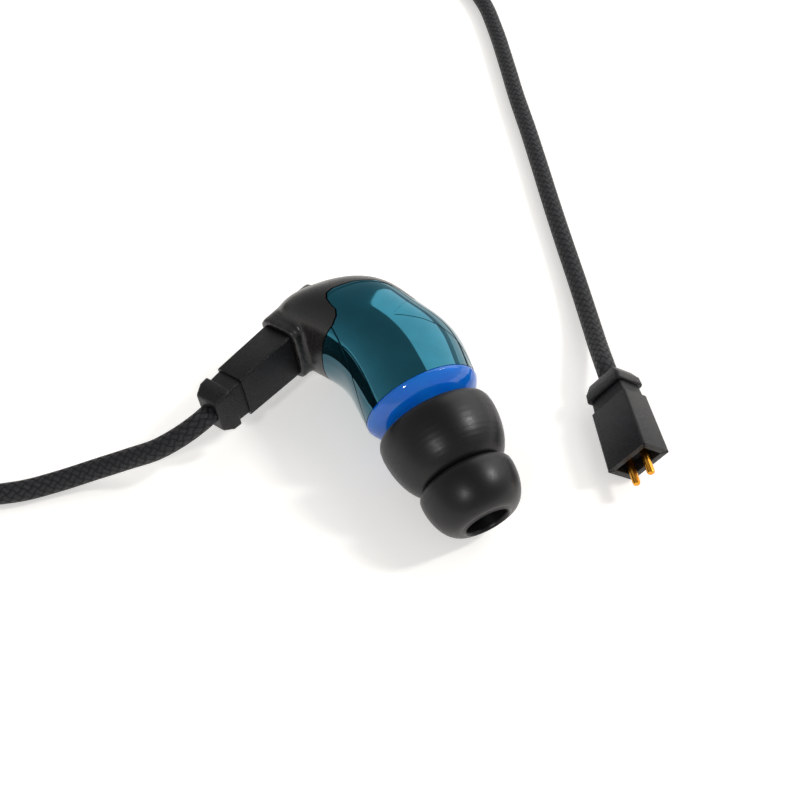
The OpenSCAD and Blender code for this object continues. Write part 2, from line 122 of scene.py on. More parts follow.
def linear(code: str) -> tuple[float, float, float, float]:
    """Linear RGBA of an sRGB hex colour.

    Args:
        code: Six hex digits with a leading #.

    Returns:
        Red, green, blue and an alpha of 1.
    """
    parts = [int(code[i : i + 2], 16) / 255 for i in (1, 3, 5)]
    return tuple(p / 12.92 if p <= 0.04045 else ((p + 0.055) / 1.055) ** 2.4 for p in parts) + (1.0,)


def add_node(tree: bpy.types.NodeTree, kind: str, links: dict | None = None, **settings) -> bpy.types.Node:
    """Adds a node with its settings, values and links.

    Args:
        tree: Node tree it goes into.
        kind: The node's type name after ShaderNode.
        links: Input name or number to a value or an output socket.
        settings: Attributes of the node.

    Returns:
        The new node.
    """
    node = tree.nodes.new("ShaderNode" + kind)
    for name, value in settings.items():
        setattr(node, name, value)
    for key, value in (links or {}).items():
        if isinstance(value, bpy.types.NodeSocket):
            tree.links.new(value, node.inputs[key])
        else:
            node.inputs[key].default_value = value
    return node


@dataclass(frozen=True)
class Finish:
    """A moulded, plated or lacquered surface with its own grain.

    Colours are sRGB hex, and grain and relief are real sizes in mm.
    """

    name: str
    colour: str
    shade: str
    roughness: float = 0.4
    roughness_spread: float = 0.08
    metallic: float = 0.0
    ior: float = 1.5
    transmission: float = 0.0
    coat: float = 0.0
    coat_roughness: float = 0.05
    sheen: float = 0.0
    grain: float = 0.2
    relief: float = 0.01
    streak: float = 1.0

    def make(self) -> bpy.types.Material:
        """The node material of this finish."""
        material = bpy.data.materials.new(self.name)
        material.use_nodes = True
        tree = material.node_tree
        shader = tree.nodes["Principled BSDF"]
        place = add_node(tree, "TexCoord")
        stretch = (1.0, 1.0, self.streak)
        mapped = add_node(tree, "Mapping", {"Vector": place.outputs["Object"], "Scale": stretch})
        vector = mapped.outputs["Vector"]
        grain = add_node(
            tree,
            "TexNoise",
            {"Vector": vector, "Scale": 1.0 / (self.grain * MM), "Detail": 3.0, "Roughness": 0.6},
        )
        cloud = add_node(
            tree, "TexNoise", {"Vector": vector, "Scale": 1.0 / (2.5 * MM), "Detail": 2.0}
        )
        mix = add_node(
            tree,
            "Mix",
            {"Factor": cloud.outputs["Fac"], 6: linear(self.colour), 7: linear(self.shade)},
            data_type="RGBA",
        )
        tree.links.new(mix.outputs[2], shader.inputs["Base Color"])
        level = add_node(
            tree,
            "MapRange",
            {
                "Value": grain.outputs["Fac"],
                "From Min": 0.3,
                "From Max": 0.7,
                "To Min": max(0.02, self.roughness - self.roughness_spread),
                "To Max": self.roughness + self.roughness_spread,
            },
        )
        tree.links.new(level.outputs["Result"], shader.inputs["Roughness"])
        if self.relief > 0:
            bump = add_node(
                tree,
                "Bump",
                {"Height": grain.outputs["Fac"], "Distance": self.relief * MM, "Strength": 1.0},
            )
            tree.links.new(bump.outputs["Normal"], shader.inputs["Normal"])
        shader.inputs["Metallic"].default_value = self.metallic
        if self.metallic < 0.5:
            shader.inputs["IOR"].default_value = self.ior
        shader.inputs["Transmission Weight"].default_value = self.transmission
        shader.inputs["Coat Weight"].default_value = self.coat
        shader.inputs["Coat Roughness"].default_value = self.coat_roughness
        shader.inputs["Sheen Weight"].default_value = self.sheen
        return material


# Metallised ABS under clear lacquer: a dark teal mirror with a faint cloudiness in its depth
TEAL_SHELL = Finish(
    "metallised_abs", "#1F6B7E", "#185868", 0.05, 0.02, 0.95,
    coat=0.25, coat_roughness=0.02, grain=0.6, relief=0.0,
)
# Moulded nylon: a warm black satin skin with a very fine spark-eroded grain
BLACK_HOUSING = Finish(
    "moulded_nylon", "#120F0E", "#0C0A0A", 0.3, 0.07,
    coat=0.15, coat_roughness=0.25, grain=0.12, relief=0.004,
)
# Clear blue acrylic: deep saturated blue that lets light through at its edges
BLUE_ACRYLIC = Finish(
    "clear_blue_acrylic", "#1E9CFF", "#0072FF", 0.05, 0.02, ior=1.49, transmission=0.5, grain=0.8, relief=0.0
)
# Silicone rubber: soft grey-black with a dry bloom and moulding haze
SILICONE = Finish(
    "silicone_rubber", "#0C0C0E", "#08080A", 0.36, 0.05, ior=1.38, sheen=0.02, grain=0.18, relief=0.004
)
# Spark-eroded ABS of the plugs: rough black whose grain sparkles, drawn at 0.11 mm so that it shows
PLUG_ABS = Finish("spark_eroded_abs", "#0D0C0E", "#08080A", 0.34, 0.16, ior=1.36, grain=0.11, relief=0.05)
# Glass-filled polymer of inserts and insulators: flat black
INSERT_POLYMER = Finish("glass_filled_polymer", "#121214", "#1A1A1C", 0.55, 0.1, grain=0.09, relief=0.008)
# Gold plate on brass: warm bright metal with fine turning marks
GOLD_PLATE = Finish(
    "gold_plated_brass", "#F0AE45", "#D98E2A", 0.22, 0.06, 1.0, grain=0.15, relief=0.003, streak=3.0
)
# Woven stainless steel of the nozzle's screen: grey, softly glinting
STEEL = Finish("stainless_steel", "#A8A9AD", "#8C8D92", 0.3, 0.08, 1.0, grain=0.1, relief=0.02)
# Drawn nickel-iron can of a driver: pale metal with rolling lines
DRIVER_CAN = Finish(
    "drawn_nickel_iron", "#C3C5C9", "#A9ACB1", 0.3, 0.08, 1.0, grain=0.3, relief=0.004, streak=6.0
)
# Extruded vinyl tube: clear and slightly milky
VINYL_TUBE = Finish(
    "clear_vinyl", "#DDE3E6", "#C9D2D8", 0.15, 0.05, transmission=0.6, grain=0.4, relief=0.002
)
# Woven damper discs in their lacquered rings
DAMPER_RED = Finish("red_lacquer", "#B2352A", "#8E241C", 0.4, 0.08, grain=0.1, relief=0.01)
DAMPER_GREEN = Finish("green_lacquer", "#3E8E50", "#2C6E3B", 0.4, 0.08, grain=0.1, relief=0.01)
# Solder mask on glass-epoxy board: glossy green with the weave just showing
SOLDER_MASK = Finish("solder_mask", "#1F6B3A", "#165530", 0.25, 0.08, grain=0.25, relief=0.008)
# Fired ceramic of a chip part: matt tan
CERAMIC = Finish("fired_ceramic", "#B08052", "#936841", 0.5, 0.1, grain=0.08, relief=0.006)
# Enamel on fine copper wire: glossy deep red
WIRE_ENAMEL = Finish("wire_enamel", "#9C2B24", "#7A1C18", 0.2, 0.05, grain=0.2, relief=0.002)
# Thermoplastic elastomer of the jack's relief and the coil's strap: soft dark matt
ELASTOMER = Finish("soft_elastomer", "#1C1C1E", "#151517", 0.6, 0.08, sheen=0.1, grain=0.15, relief=0.008)


@dataclass(frozen=True)
class BraidFinish:
    """Braided polyester sleeve: black bundles crossing in a herringbone, with painted shade in the gaps
    between them and a painted highlight on their crowns; their grey thread glints come partly from relief and
    are partly painted into the base colour.
    """

    name: str = "braided_polyester"
    lay: float = 1.9
    bundles: int = 4
    threads: float = 4.0
    relief: float = 0.11
    # Base colour on the bundles' crowns: a painted highlight
    painted_highlight_crown: str = "#2C2C31"
    # Base colour in the gaps between bundles: painted shade
    gap: str = "#030304"
    bundle_share: float = 0.8
    thread_share: float = 0.12
    # How sharply the painted highlight on the crowns gives way to the painted shade in the gaps
    painted_light_contrast: float = 2.2
    ior: float = 1.38

    def make(self) -> bpy.types.Material:
        """The node material, read from the cord's own map in units of girth and mm of length."""
        material = bpy.data.materials.new(self.name)
        material.use_nodes = True
        tree = material.node_tree
        shader = tree.nodes["Principled BSDF"]
        uv = add_node(tree, "UVMap", uv_map="lay")
        parts = add_node(tree, "SeparateXYZ", {0: uv.outputs["UV"]})

        def math_node(operation: str, *values) -> bpy.types.NodeSocket:
            """Result of one arithmetic step."""
            node = add_node(tree, "Math", dict(enumerate(values)), operation=operation)
            return node.outputs[0]

        around = math_node("MULTIPLY", parts.outputs["X"], float(self.bundles))
        along = math_node("DIVIDE", parts.outputs["Y"], self.lay)
        right = math_node("ADD", along, around)
        left = math_node("SUBTRACT", along, around)
        crowns = []
        for turn in (right, left):
            place = math_node("FRACT", math_node("MULTIPLY", turn, 2.0))
            across = math_node("ABSOLUTE", math_node("SUBTRACT", place, 0.5))
            square = math_node("MULTIPLY", across, across)
            bundle = math_node("SUBTRACT", 1.0, math_node("MULTIPLY", square, 4.0))
            thread = math_node("SINE", math_node("MULTIPLY", turn, 2.0 * math.tau * self.threads))
            swell = math_node("MULTIPLY", bundle, self.bundle_share)
            crowns.append(math_node("ADD", swell, math_node("MULTIPLY", thread, self.thread_share)))
        row = math_node("FLOOR", math_node("MULTIPLY", right, 2.0))
        column = math_node("FLOOR", math_node("MULTIPLY", left, 2.0))
        cell = math_node("FRACT", math_node("MULTIPLY", math_node("ADD", row, column), 0.5))
        over = math_node("GREATER_THAN", cell, 0.25)
        weave = {"Factor": over, 2: crowns[0], 3: crowns[1]}
        height = add_node(tree, "Mix", weave, data_type="FLOAT").outputs[0]
        # Painted light: the base colour runs from painted shade in the gaps to a painted highlight on the
        # crowns and threads, following the weave's height
        depth = math_node("POWER", math_node("MAXIMUM", height, 0.0), self.painted_light_contrast)
        painted_light_mix = {"Factor": depth, 6: linear(self.gap), 7: linear(self.painted_highlight_crown)}
        painted_light_colour = add_node(tree, "Mix", painted_light_mix, data_type="RGBA")
        tree.links.new(painted_light_colour.outputs[2], shader.inputs["Base Color"])
        raised = {"Height": height, "Distance": self.relief * MM, "Strength": 1.0}
        bump = add_node(tree, "Bump", raised)
        tree.links.new(bump.outputs["Normal"], shader.inputs["Normal"])
        dull = add_node(tree, "MapRange", {"Value": height, "To Min": 0.75, "To Max": 0.38})
        tree.links.new(dull.outputs["Result"], shader.inputs["Roughness"])
        shader.inputs["IOR"].default_value = self.ior
        return material


class Library:
    """Each finish made once, and given to pieces and to the solids that stay in view."""

    def __init__(self) -> None:
        """Starts with no material made."""
        self._made: dict[str, bpy.types.Material] = {}

    def get(self, finish: Finish | BraidFinish) -> bpy.types.Material:
        """The material of a finish."""
        if finish.name not in self._made:
            self._made[finish.name] = finish.make()
        return self._made[finish.name]

    def dress(self, piece: Piece, finish: Finish | BraidFinish) -> None:
        """Makes a finish the only material of a piece."""
        piece.data.materials.clear()
        piece.data.materials.append(self.get(finish))


LIBRARY = Library()

NODE_FINISHES: dict[str, Finish] = {
    "nozzle_stem": BLUE_ACRYLIC,
    "nozzle_screen": STEEL,
    "driver_plate": BLUE_ACRYLIC,
    "low_driver_left": DRIVER_CAN,
    "low_driver_right": DRIVER_CAN,
    "high_driver": DRIVER_CAN,
    "low_sound_tube": VINYL_TUBE,
    "high_sound_tube": VINYL_TUBE,
    "low_damper": DAMPER_RED,
    "high_damper": DAMPER_GREEN,
    "crossover_board": SOLDER_MASK,
    "crossover_capacitor": CERAMIC,
    "crossover_resistor": CERAMIC,
    "socket_insert": INSERT_POLYMER,
    "socket_contacts": GOLD_PLATE,
    "socket_leads": WIRE_ENAMEL,
    "plug_a_insert": INSERT_POLYMER,
    "plug_b_insert": INSERT_POLYMER,
    "jack_insulators": INSERT_POLYMER,
}


# ---------- mesh work ----------


def piece_from(name: str, shape: Shape, place: Matrix, sharp: float = 35.0) -> Piece:
    """Turns a shape in mm into an object in metres at the origin.

    Args:
        name: Name of the piece.
        shape: Its bmesh, in mm in its own frame.
        place: Matrix from that frame to the layout.
        sharp: Edges steeper than this many degrees stay crisp.

    Returns:
        The new object.
    """
    bmesh.ops.transform(shape, matrix=LAYOUT.metres() @ place, verts=shape.verts)
    mesh = bpy.data.meshes.new(name)
    shape.to_mesh(mesh)
    shape.free()
    mesh.shade_smooth()
    mesh.set_sharp_from_angle(angle=math.radians(sharp))
    piece = bpy.data.objects.new(name, mesh)
    bpy.context.scene.collection.objects.link(piece)
    return piece


def finish_piece(
    piece: Piece, finish: Finish | BraidFinish, slot: str, body: str, *nodes: str
) -> Piece:
    """Dresses a piece, seats it on its body and lets it stand for its solids.

    Args:
        piece: The object.
        finish: Its finish.
        slot: Name of a material slot; not used.
        body: The body that it rides on.
        nodes: Solids that it replaces.

    Returns:
        The piece.
    """
    LIBRARY.dress(piece, finish)
    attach(piece, body)
    if nodes:
        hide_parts(*nodes)
    LOG.info("piece %s: %d faces, on %s", piece.name, len(piece.data.polygons), body)
    return piece


def revolved(profile: Sequence[Pair], steps: int = 128) -> Shape:
    """A closed shape turned about z.

    Args:
        profile: Closed line of (radius, height), a radius of 0 being on the axis.
        steps: Steps of the full turn.

    Returns:
        The shape in mm.
    """
    shape = bmesh.new()
    corners = [shape.verts.new((r, 0.0, z)) for r, z in profile]
    edges = [shape.edges.new(pair) for pair in zip(corners, corners[1:])]
    if profile[0][0] > 0:
        edges.append(shape.edges.new((corners[-1], corners[0])))
    bmesh.ops.spin(
        shape, geom=corners + edges, axis=(0, 0, 1), cent=(0, 0, 0),
        angle=math.tau, steps=steps, use_merge=True,
    )
    bmesh.ops.remove_doubles(shape, verts=shape.verts, dist=1e-5)
    bmesh.ops.recalc_face_normals(shape, faces=shape.faces)
    return shape


def rounded_block(
    wide: float, tall: float, back: float, front: float, corner: float, taper: float = 1.0
) -> Shape:
    """A block along z with round long edges.

    Args:
        wide: Size in x at the front.
        tall: Size in y at the front.
        back: Lower z.
        front: Upper z.
        corner: Radius of the long edges.
        taper: Size at the back over the size at the front.

    Returns:
        The shape in mm.
    """
    shape = bmesh.new()
    bmesh.ops.create_cube(shape, size=1.0)
    bmesh.ops.scale(shape, vec=(wide, tall, front - back), verts=shape.verts)
    bmesh.ops.translate(shape, vec=(0, 0, (front + back) / 2), verts=shape.verts)
    long_edges = [e for e in shape.edges if abs(e.verts[0].co.z - e.verts[1].co.z) > 0.5 * (front - back)]
    bmesh.ops.bevel(
        shape, geom=long_edges, offset=corner, offset_type="OFFSET",
        segments=6, profile=0.5, affect="EDGES", material=-1,
    )
    rear = [v for v in shape.verts if v.co.z < back + 1e-4]
    bmesh.ops.scale(shape, vec=(taper, taper, 1.0), verts=rear)
    return shape


def soften(shape: Shape, width: float, angle: float = 40.0, segments: int = 3) -> None:
    """Rounds every edge steeper than an angle.

    Args:
        shape: The shape, changed in place.
        width: Width of the rounding in mm.
        angle: Least angle between faces in degrees.
        segments: Faces across each rounding.
    """
    least = math.radians(angle)
    sharp = [e for e in shape.edges if len(e.link_faces) == 2 and e.calc_face_angle(0.0) > least]
    bmesh.ops.bevel(
        shape, geom=sharp, offset=width, offset_type="OFFSET",
        segments=segments, profile=0.5, affect="EDGES", material=-1, clamp_overlap=True,
    )


def face_at(shape: Shape, direction: Vector) -> bmesh.types.BMFace:
    """The largest face that looks along a direction."""
    looking = [f for f in shape.faces if f.normal.dot(direction) > 0.95]
    return max(looking, key=lambda f: f.calc_area())


def sunk(shape: Shape, margin: float, depth: float) -> None:
    """Sinks a recess into the front face.

    Args:
        shape: The shape, changed in place.
        margin: Wall left round the recess in mm.
        depth: Depth in mm.
    """
    shape.normal_update()
    front = face_at(shape, Vector((0, 0, 1)))
    bmesh.ops.inset_region(shape, faces=[front], thickness=margin, use_even_offset=True)
    made = bmesh.ops.extrude_face_region(shape, geom=[front])
    floor = [v for v in made["geom"] if isinstance(v, bmesh.types.BMVert)]
    bmesh.ops.translate(shape, vec=(0, 0, -depth), verts=floor)
    bmesh.ops.delete(shape, geom=[front], context="FACES")
    bmesh.ops.recalc_face_normals(shape, faces=shape.faces)


def joined(*shapes: Shape) -> Shape:
    """Several shapes as one; the later ones are used up."""
    first = shapes[0]
    for other in shapes[1:]:
        mesh = bpy.data.meshes.new("join")
        other.to_mesh(mesh)
        other.free()
        first.from_mesh(mesh)
        bpy.data.meshes.remove(mesh)
    return first


class Cut(Enum):
    """Ways to combine two shapes."""

    KEEP_INSIDE = "INTERSECT"
    TAKE_AWAY = "DIFFERENCE"
    JOIN = "UNION"


def to_object(name: str, shape: Shape) -> Piece:
    """A helper object in mm for boolean work; the shape is used up."""
    mesh = bpy.data.meshes.new(name)
    shape.to_mesh(mesh)
    shape.free()
    helper = bpy.data.objects.new(name, mesh)
    bpy.context.scene.collection.objects.link(helper)
    return helper


def combined(base: Shape, steps: Sequence[tuple[Cut, Shape]], voxel: float = 0.0) -> Shape:
    """Applies boolean steps, and optionally blends the result into one smooth skin.

    Args:
        base: First shape, used up.
        steps: Each way of combining with its shape, used up.
        voxel: Grid of the blended skin in mm, 0 for none.

    Returns:
        The result in mm.
    """
    helper = to_object("base", base)
    others = []
    for cut, shape in steps:
        other = to_object("tool", shape)
        modifier = helper.modifiers.new(cut.name, "BOOLEAN")
        modifier.operation = cut.value
        modifier.solver = "EXACT"
        modifier.object = other
        others.append(other)
    if voxel > 0:
        skin = helper.modifiers.new("skin", "REMESH")
        skin.mode = "VOXEL"
        skin.voxel_size = voxel
    bpy.context.view_layer.update()
    solved = helper.evaluated_get(bpy.context.evaluated_depsgraph_get())
    result = bmesh.new()
    result.from_mesh(solved.to_mesh())
    solved.to_mesh_clear()
    for other in [helper, *others]:
        mesh = other.data
        bpy.data.objects.remove(other)
        bpy.data.meshes.remove(mesh)
    return result


def prism(outline: Sequence[Pair], depth: float) -> Shape:
    """A prism across the body's x axis from an outline in y and z.

    Args:
        outline: Corners (y, z).
        depth: Its extent in x.

    Returns:
        The shape in mm.
    """
    shape = bmesh.new()
    corners = [shape.verts.new((-depth / 2, y, z)) for y, z in outline]
    face = shape.faces.new(corners)
    made = bmesh.ops.extrude_face_region(shape, geom=[face])
    top = [v for v in made["geom"] if isinstance(v, bmesh.types.BMVert)]
    bmesh.ops.translate(shape, vec=(depth, 0, 0), verts=top)
    bmesh.ops.recalc_face_normals(shape, faces=shape.faces)
    return shape


def smooth_line(points: Sequence[Point], step: float) -> list[Vector]:
    """Evenly spaced points on a smooth curve through given ones.

    Args:
        points: Points that the curve goes through.
        step: Distance between the new points.

    Returns:
        The new points, ends included.
    """
    knots = [Vector(p) for p in points]
    padded_knots = [2 * knots[0] - knots[1], *knots, 2 * knots[-1] - knots[-2]]
    dense: list[Vector] = []
    for a, b, c, d in zip(padded_knots, padded_knots[1:], padded_knots[2:], padded_knots[3:]):
        gaps = [max((q - p).length ** 0.5, 1e-6) for p, q in ((a, b), (b, c), (c, d))]
        tangent_b = gaps[1] * ((b - a) / gaps[0] - (c - a) / (gaps[0] + gaps[1]) + (c - b) / gaps[1])
        tangent_c = gaps[1] * ((c - b) / gaps[1] - (d - b) / (gaps[1] + gaps[2]) + (d - c) / gaps[2])
        count = max(2, int((c - b).length / step) * 2)
        for i in range(count):
            t = i / count
            dense.append(
                (2 * t**3 - 3 * t**2 + 1) * b
                + (t**3 - 2 * t**2 + t) * tangent_b
                + (3 * t**2 - 2 * t**3) * c
                + (t**3 - t**2) * tangent_c
            )
    dense.append(knots[-1])
    total = sum((q - p).length for p, q in zip(dense, dense[1:]))
    count = max(2, round(total / step))
    line = [dense[0]]
    walked, k = 0.0, 0
    for i in range(1, count):
        goal = total * i / count
        while walked + (dense[k + 1] - dense[k]).length < goal:
            walked += (dense[k + 1] - dense[k]).length
            k += 1
        span = dense[k + 1] - dense[k]
        line.append(dense[k] + span * ((goal - walked) / span.length))
    line.append(dense[-1])
    return line


# ---------- cable ----------


@dataclass(frozen=True)
class Cable:
    """The braided cable: two branches, the main cord, their coil and its fittings. Sizes in mm."""

    cord_d: float = 2.0
    coil_at: Pair = (-69.0, 34.0)
    left_z: float = 0.5
    right_z: float = 4.5
    main_z: float = 8.5
    coil_top: float = 12.5
    split_x: float = -83.0
    twin: float = 1.3
    slider_y: float = 15.0
    slider_len: float = 6.0
    split_top_y: float = 4.0
    split_len: float = 11.0
    split_z: float = 1.7
    boot_end: float = 9.9
    jack_at: Triple = (-77.0, 66.0, 3.0)
    relief_len: float = 7.0
    jack_az: float = 12.0
    jack_r: float = 1.75
    floor_z: float = 1.02
    steps_to_a_turn: int = 24
    climb: float = 1.6
    strap_az: float = 255.0
    strap_r: float = 11.8
    strap_wall: float = 0.5
    strap_outer: Pair = (12.0, 5.0)
    strap_hole: Pair = (10.8, 9.0)
    block: Pair = (6.2, 3.3)
    block_corner: float = 1.4
    bore_r: float = 1.06

    def plug_end(self, place: Matrix) -> list[Triple]:
        """First two points of a branch, behind a plug's boot."""
        return [tuple(place @ Vector((0, 0, -self.boot_end - d))) for d in (0.0, 1.5)]

    def left_route(self) -> list[Point]:
        """From the fitted plug to the coil."""
        low = self.floor_z
        shown = [
            (-20.3, -8.2, 5.0), (-22.6, -8.9, 3.9), (-25.2, -9.1, 2.8), (-28.4, -9.6, 1.8), (-32, -10.6, 1.2),
            (-35.5, -11.6, low), (-40, -12, low), (-45, -10.8, low), (-49.5, -7, low), (-52.5, -1, low),
            (-54, 6, 1.1), (-54.7, 13, 1.3), (-55, 20, 1.5), (-55, 28.5, self.left_z + 1),
        ]
        return self.plug_end(LAYOUT.plug_a()) + shown

    def right_route(self) -> list[Point]:
        """From the free plug to the coil."""
        low = self.floor_z
        shown = [
            (20.05, 5, 2.3), (19.7, 9.5, 1.5), (19, 15.5, 1.1), (18.2, 21, low), (17.2, 28, low),
            (16.4, 34, low),
            (15.5, 40.5, low), (14.5, 47, low), (13.6, 54, low), (12.6, 61, low), (11.2, 67.6, low),
            (8.4, 73.6, low), (3.6, 78.4, low), (-2.8, 81.2, low), (-9.8, 82.4, low), (-17, 82.6, low),
            (-24.4, 82.5, low), (-31.8, 82.2, low), (-39, 81, low), (-46, 78.8, low), (-52.6, 75.6, low),
            (-58.8, 70.6, 1.1), (-64.2, 64.6, 1.5), (-68.6, 58.8, 2.3), (-72.8, 53.2, 3.4),
            (-77.2, 48.4, 4.6),
            (-81.99, 41.5, self.right_z + 1),
        ]
        return self.plug_end(LAYOUT.plug_b()) + shown

    def lead(self, side: int, start_z: float, heights: Pair) -> list[Point]:
        """A branch from the coil through the slider to the split.

        Args:
            side: -1 for the left branch, 1 for the right.
            start_z: Height where it leaves the coil.
            heights: Heights of the next two points.

        Returns:
            Points of the route.
        """
        x = self.split_x + side * self.twin
        near, far = (27.0, 25.2) if side < 0 else (26.6, 24.9)
        return [
            (self.split_x, 28.6, start_z), (self.split_x + side * 0.4, near, heights[0]),
            (x - side * 0.2, far, heights[1]),
            *((x, y, self.split_z) for y in (23.2, 22.7, 22.0, 17, 10, self.split_top_y)),
        ]

    def main_lead(self) -> list[Point]:
        """From the split to the coil."""
        x, z, low = self.split_x, self.split_z, self.floor_z
        end = self.split_top_y - self.split_len
        return [
            (x, end, z), (x, end - 1.5, z), (x + 1, -12.6, 1.2), (x + 4.2, -15.8, low), (x + 8.6, -16.2, low),
            (x + 12.2, -13.4, 1.1), (x + 14.2, -8.5, 1.5), (x + 15, -2.5, 2.4), (x + 15.7, 3.5, 4.2),
            (x + 16.7, 9.5, 6.6), (x + 18.3, 14.4, 8.5), (x + 21.2, 18.6, self.main_z + 1),
        ]

    def main_route(self) -> list[Point]:
        """From the coil to the jack."""
        x, y, z = self.jack_at
        return [
            (-66, 50.8, self.main_z + 2.4), (-70, 53.6, 8.8), (-73.6, 57.4, 6.2), (-76, 61.2, 4.0),
            (x, y - 1.5, z), (x, y, z),
        ]

    def winding(
        self, start: float, turns: float, outer: Pair, inner: float, z: float
    ) -> list[Point]:
        """Turns that spiral in on a lower layer and out again on the layer above.

        Args:
            start: Angle of the first point in degrees.
            turns: Turns in all, counter-clockwise from above.
            outer: First and last radius.
            inner: Radius of the innermost turn.
            z: Height of the lower layer's centreline.

        Returns:
            Points of the turns.
        """
        count = round(turns * self.steps_to_a_turn)
        points = []
        for i in range(1, count):
            t = i / count
            half = min(2 * t, 2 - 2 * t)
            edge = outer[0] if t < 0.5 else outer[1]
            radius = edge + (inner - edge) * half
            rise = self.cord_d * min(1.0, max(0.0, (t - 0.5) * turns * self.climb + 0.5))
            a = math.radians(start) + math.tau * turns * t
            x, y = self.coil_at
            points.append((x + radius * math.cos(a), y + radius * math.sin(a), z + rise))
        return points

    def tube(
        self, name: str, points: Sequence[Point], nodes: Sequence[str]
    ) -> tuple[Piece, list[Vector], float]:
        """A cord's tube, with a map of girth and length for its braid.

        Args:
            name: Name of the piece.
            points: Route in the layout, in mm.
            nodes: Solids that it replaces.

        Returns:
            The piece, its centreline in metres and its length in metres.
        """
        line = smooth_line(points, 0.5)
        sides = 16
        shape = bmesh.new()
        uv = shape.loops.layers.uv.new("lay")
        bmesh.ops.create_grid(shape, x_segments=sides, y_segments=len(line) - 1, size=1.0)
        where = {}
        ups = []
        for i in range(len(line)):
            t = (line[min(i + 1, len(line) - 1)] - line[max(i - 1, 0)]).normalized()
            side = Vector((0, 0, 1)).cross(t).normalized()
            ups.append((side, t.cross(side)))
        for v in shape.verts:
            a = (v.co.x + 1) / 2
            i = round((v.co.y + 1) / 2 * (len(line) - 1))
            where[v.index] = (a, float(i))
            side, up = ups[i]
            spoke = side * math.cos(math.tau * a) + up * math.sin(math.tau * a)
            v.co = line[i] + spoke * (self.cord_d / 2)
        spacing = sum((q - p).length for p, q in zip(line, line[1:])) / (len(line) - 1)
        for f in shape.faces:
            for loop in f.loops:
                a, i = where[loop.vert.index]
                loop[uv].uv = (a, i * spacing)
        bmesh.ops.remove_doubles(shape, verts=shape.verts, dist=1e-3)
        rims = [e for e in shape.edges if e.is_boundary]
        bmesh.ops.holes_fill(shape, edges=rims, sides=0)
        bmesh.ops.recalc_face_normals(shape, faces=shape.faces)
        piece = piece_from(name, shape, Matrix.Identity(4), 60.0)
        finish_piece(piece, BraidFinish(), "braid", "cable", *nodes)
        place = LAYOUT.metres()
        return piece, [place @ p for p in line], spacing * (len(line) - 1) * MM

    def tie(self) -> Piece:
        """The strap round the coil."""
        low, high = self.left_z, self.coil_top
        band = rounded_block(*self.strap_outer, low - self.strap_wall, high + self.strap_wall, 0.05)
        shape = combined(band, [(Cut.TAKE_AWAY, rounded_block(*self.strap_hole, low, high, 0.05))])
        soften(shape, 0.18)
        turn = Matrix.Rotation(math.radians(self.strap_az), 4, "Z")
        place = Matrix.Translation((*self.coil_at, 0)) @ turn @ Matrix.Translation((self.strap_r, 0, 0))
        return finish_piece(piece_from("coil_tie", shape, place), ELASTOMER, "strap", "cable", "cord_tie")

    def lying(self, y: float) -> Matrix:
        """Frame of a fitting on the two branches: z points towards -Y."""
        return Matrix.Translation((self.split_x, y, self.split_z)) @ Matrix.Rotation(math.radians(90), 4, "X")

    def slider(self) -> Piece:
        """The slider that draws the branches together."""
        half = self.slider_len / 2
        shape = rounded_block(*self.block, -half, half, self.block_corner)
        bores = []
        for side in (-1, 1):
            bore = bmesh.new()
            r = self.bore_r
            bmesh.ops.create_cone(bore, cap_ends=True, segments=32, radius1=r, radius2=r, depth=10)
            bmesh.ops.translate(bore, vec=(side * self.twin, 0, 0), verts=bore.verts)
            bores.append((Cut.TAKE_AWAY, bore))
        shape = combined(shape, bores)
        soften(shape, 0.1, 50)
        piece = piece_from("slider", shape, self.lying(self.slider_y))
        return finish_piece(piece, PLUG_ABS, "black_moulding", "cinch", "cinch_slider")

    def splitter(self) -> Piece:
        """The split, with its round tail."""
        block = rounded_block(*self.block, 0, 6.05, self.block_corner)
        soften(block, 0.3, 50)
        tail = revolved([(0, 5.6), (1.65, 5.6), (1.65, 6.05), (1.25, 10.8), (1.1, 11.0), (0, 11.0)], 48)
        piece = piece_from("splitter", joined(block, tail), self.lying(self.split_top_y))
        return finish_piece(piece, PLUG_ABS, "black_moulding", "cable", "y_split")

